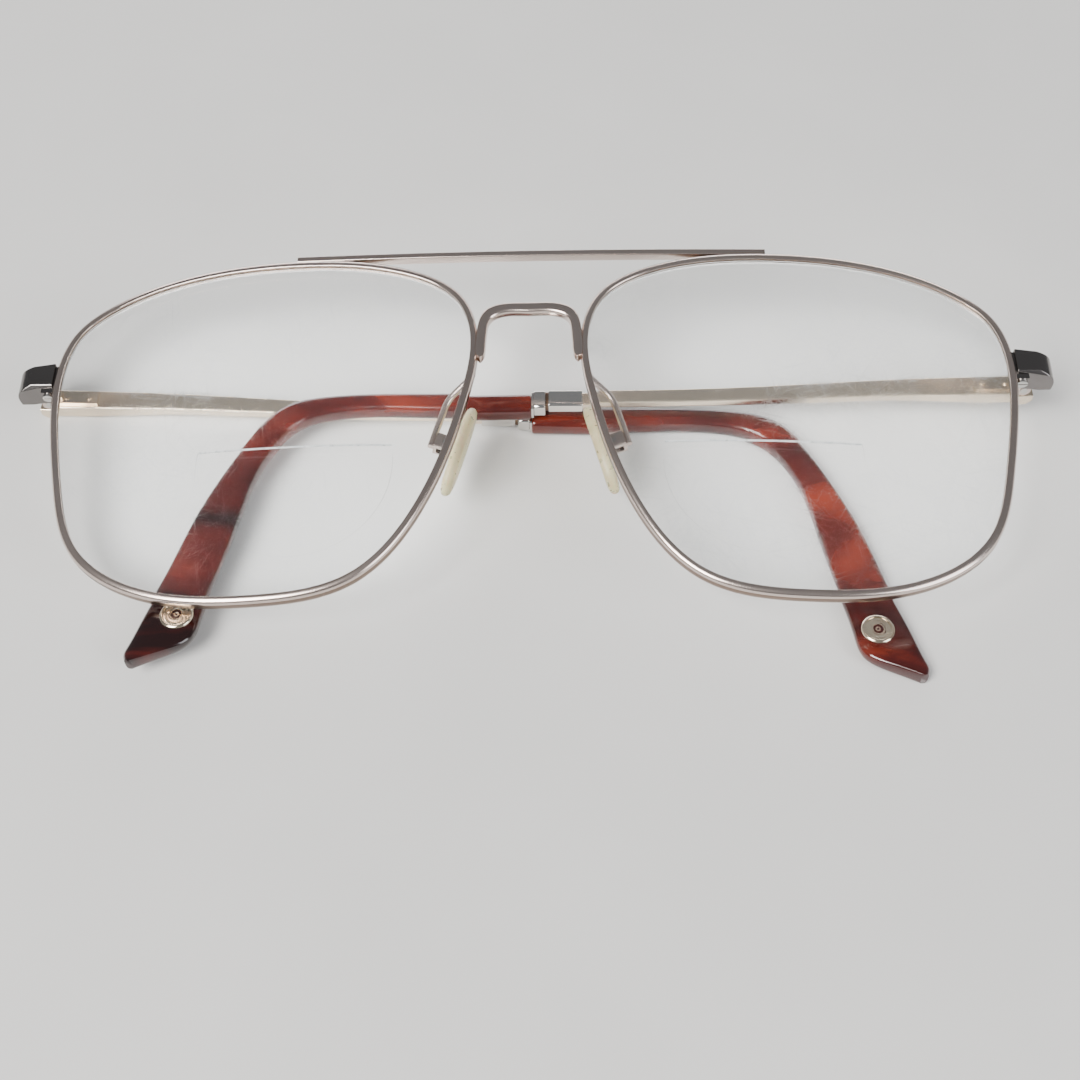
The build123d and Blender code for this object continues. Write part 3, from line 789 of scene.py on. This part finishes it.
def make_arm_bar(side):
    """Flat metal arm, deep and thick at the hinge and slimmer towards the tip."""
    rings = []
    for s in np.concatenate([np.linspace(ARM_END, 6, 25), np.linspace(7, 62, 60)]):
        low = (value_at(ARM_BOTTOM, s), float(np.interp(s, *zip(*ARM_OUTER))))
        high = (value_at(ARM_TOP, s), ARM_INNER)
        rings.append([(s, t, n) for t, n in rounded_box(low, high, ARM_ROUND)])
    obj = piece(side + "_arm_bar", *loft(rings), arm_matrix(side), CHAMPAGNE, 40)
    return done(weighted(obj), side + "_arm", "champagne_metal", side + "_temple_arm")


def make_arm_core(side):
    """Wire core that shows through the plastic tip."""
    line = smooth(CORE_LINE, 90)
    along = np.gradient(line, axis=0)
    along /= np.linalg.norm(along, axis=1)[:, None]
    corners = (-CORE_HALF_WIDTH, CORE_OUTER), (CORE_HALF_WIDTH, ARM_INNER)
    section = rounded_box(*corners, CORE_ROUND)
    rings = []
    for (s, t), (ds, dt) in zip(line, along):
        rings.append([(s - dt * w, t + ds * w, n) for w, n in section])
    obj = piece(side + "_arm_core", *loft(rings), arm_matrix(side), CHAMPAGNE, 40)
    return done(obj, side + "_arm", "champagne_metal")


def collar_rings(start, end, low, high, outer, inner, edge):
    """Sections of one length of the collar, with small broken edges at both ends."""
    rings = []
    for s, share in ((start, 1), (start + 0.3 * edge, 0.3), (start + edge, 0), (end - edge, 0),
                     (end - 0.3 * edge, 0.3), (end, 1)):
        cut = edge * share
        corners = (low + cut, outer + cut), (high - cut, inner - cut)
        rings.append([(s, t, n) for t, n in rounded_box(*corners, COLLAR_ROUND, 6)])
    return rings


def make_collar(side):
    """Bright ferrule: a block, a narrow groove painted dark as shade, and a larger ring."""
    rings = collar_rings(*COLLAR_BLOCK, COLLAR_EDGE) + collar_rings(*COLLAR_GROOVE, 0.01)
    rings += collar_rings(*COLLAR_RING, COLLAR_EDGE)
    matrix = arm_matrix(side)
    obj = piece(side + "_collar_body", *loft(rings), matrix, BRIGHT, 35)
    # The groove between block and ring takes the dark metal: painted shade.
    obj.data.materials.append(PAINTED_SHADE_METAL)
    for face in obj.data.polygons:
        if COLLAR_BLOCK[1] < (matrix.inverted() @ face.center).x < COLLAR_RING[0]:
            face.material_index = 1
    return done(weighted(obj), side + "_arm", "bright_metal", side + "_collar")


def tip_taper(t):
    """How far the tip has thinned at a height: 0 on the sleeve, 1 on the paddle."""
    return np.clip((TIP_TAPER_TOP - t) / TIP_TAPER_LENGTH, 0, 1)


def make_tip(side):
    """Polished plastic sleeve, hooked at the ear, with a flat paddle at its end."""
    outer = curve(TIP_OUTER_EDGE)
    inner = curve(TIP_INNER_EDGE)
    thin = tip_taper((outer[:, 1] + inner[:, 1]) / 2)
    low = TIP_OUTER + TIP_OUTER_TAPER * thin
    high = TIP_INNER - TIP_INNER_TAPER * thin
    rings = ribbon(outer, inner, low, high, soft_section)
    rings = [shrunk(rings[0], 0.80, 0.0), shrunk(rings[0], 0.95, 0.06),
             shrunk(rings[0], 1.0, 0.25)] + rings[1:]
    obj = piece(side + "_tip_plastic", *loft(rings), arm_matrix(side), ACETATE, 60)
    return done(obj, side + "_arm", "tortoise_acetate", side + "_temple_tip")


def make_medallion(side):
    """Small dished disc in a raised bezel, with fine turned rings."""
    matrix = arm_matrix(side) @ Matrix.Translation((*MEDALLION, 0))
    obj = piece(side + "_medallion_bezel", *lathe(BEZEL), matrix, PALE_GOLD, 40)
    done(obj, side + "_arm", "pale_gold", side + "_medallion_ring")
    dish = [(0.02, MEDALLION_BASE), (MEDALLION_DISH, MEDALLION_BASE)]
    for step in range(DISH_STEPS, 0, -1):
        share = step / DISH_STEPS
        ridge = DISH_RIDGE * max(0.0, cos(2 * pi * 3 * (share - 0.15))) ** 2
        height = MEDALLION_TOP - DISH_DEPTH + DISH_RISE * share ** 2 + ridge
        dish.append((MEDALLION_DISH * share, height))
    disc = piece(side + "_medallion_dish", *lathe(dish), matrix, PALE_GOLD, 50)
    done(disc, side + "_arm", "pale_gold", side + "_medallion_disc")


# ---- Small metal parts kept from the frame ----

KEPT = {
    "upper_closing_block": GUNMETAL, "lower_closing_block": GUNMETAL, "lock_screw": STEEL,
    "front_hinge": NICKEL, "hinge_screw": STEEL, "pad_arm": NICKEL, "pad_box": NICKEL,
    "pad_screw": STEEL, "pad_stem": STEEL, "temple_hinge": CHAMPAGNE, "hinge_rivets": CHAMPAGNE,
    "gasket": BRIGHT,
}


def finish_kept(side):
    """Gives a kept part its metal and small broken edges."""
    for name, material in KEPT.items():
        obj = frame["nodes"][side + "_" + name]
        obj.data.materials.clear()
        obj.data.materials.append(material)
        bevelled(obj, 0.00006, 2, 40)


# ---- Floor, light and camera ----

def make_floor():
    """Matt, pale and slightly uneven ground."""
    paint = Paint("pale floor")
    tone = paint.noise(35, 3, 0.5)
    colour = paint.ramp(tone, [(0.3, (0.66, 0.655, 0.645)), (0.7, (0.69, 0.685, 0.675))])
    paint.feed("Base Color", colour)
    paint.set(Roughness=0.7)
    bpy.ops.mesh.primitive_plane_add(size=3)
    floor = bpy.context.object
    floor.name = "floor"
    floor.data.materials.append(paint.material)


def soft_light(name, place, target, size, power, colour=(1, 1, 1)):
    """An area light at a place, turned to a target."""
    data = bpy.data.lights.new(name, "AREA")
    data.shape = "RECTANGLE"
    data.size, data.size_y = size
    data.energy = power
    data.color = colour
    lamp = bpy.data.objects.new(name, data)
    lamp.location = place
    lamp.rotation_euler = (Vector(target) - Vector(place)).to_track_quat("-Z", "Y").to_euler()
    bpy.context.scene.collection.objects.link(lamp)


def make_lights():
    """Dim grey surroundings, a warm key from the left, a cool fill and a light behind."""
    world = bpy.data.worlds.new("studio")
    world.use_nodes = True
    background = world.node_tree.nodes["Background"]
    background.inputs[0].default_value = (0.80, 0.82, 0.85, 1)
    background.inputs[1].default_value = 0.28
    bpy.context.scene.world = world
    soft_light("key", (-0.45, -0.5, 0.75), (0, 0, 0), (0.5, 0.5), 19, (1, 0.98, 0.95))
    soft_light("fill", (0.75, -0.5, 0.4), (0, 0, 0), (0.5, 0.7), 7, (0.95, 0.97, 1))
    soft_light("rim light", (0.0, 0.9, 0.16), (0, 0, 0.01), (1.2, 0.2), 5)


def make_camera():
    """Looks down at the front of the folded glasses."""
    origin = FRONT @ Vector((0, 0, 0))
    data = bpy.data.cameras.new("camera")
    data.lens = CAMERA_LENS
    data.sensor_width = 36
    data.clip_start = 0.01
    camera = bpy.data.objects.new("camera", data)
    camera.location = origin + Vector(CAMERA_PLACE)
    camera.rotation_euler = (radians(90 - CAMERA_DOWN), 0, radians(CAMERA_TURN))
    bpy.context.scene.collection.objects.link(camera)
    bpy.context.scene.camera = camera


make_camera()
make_floor()
make_lights()
make_brow_bar()
make_bridge()
for side in SIDES:
    make_rim(side)
    make_lens(side)
    make_segment_ledge(side)
    make_end_piece(side)
    make_pad(side)
    make_arm_bar(side)
    make_arm_core(side)
    make_collar(side)
    make_tip(side)
    make_medallion(side)
    finish_kept(side)
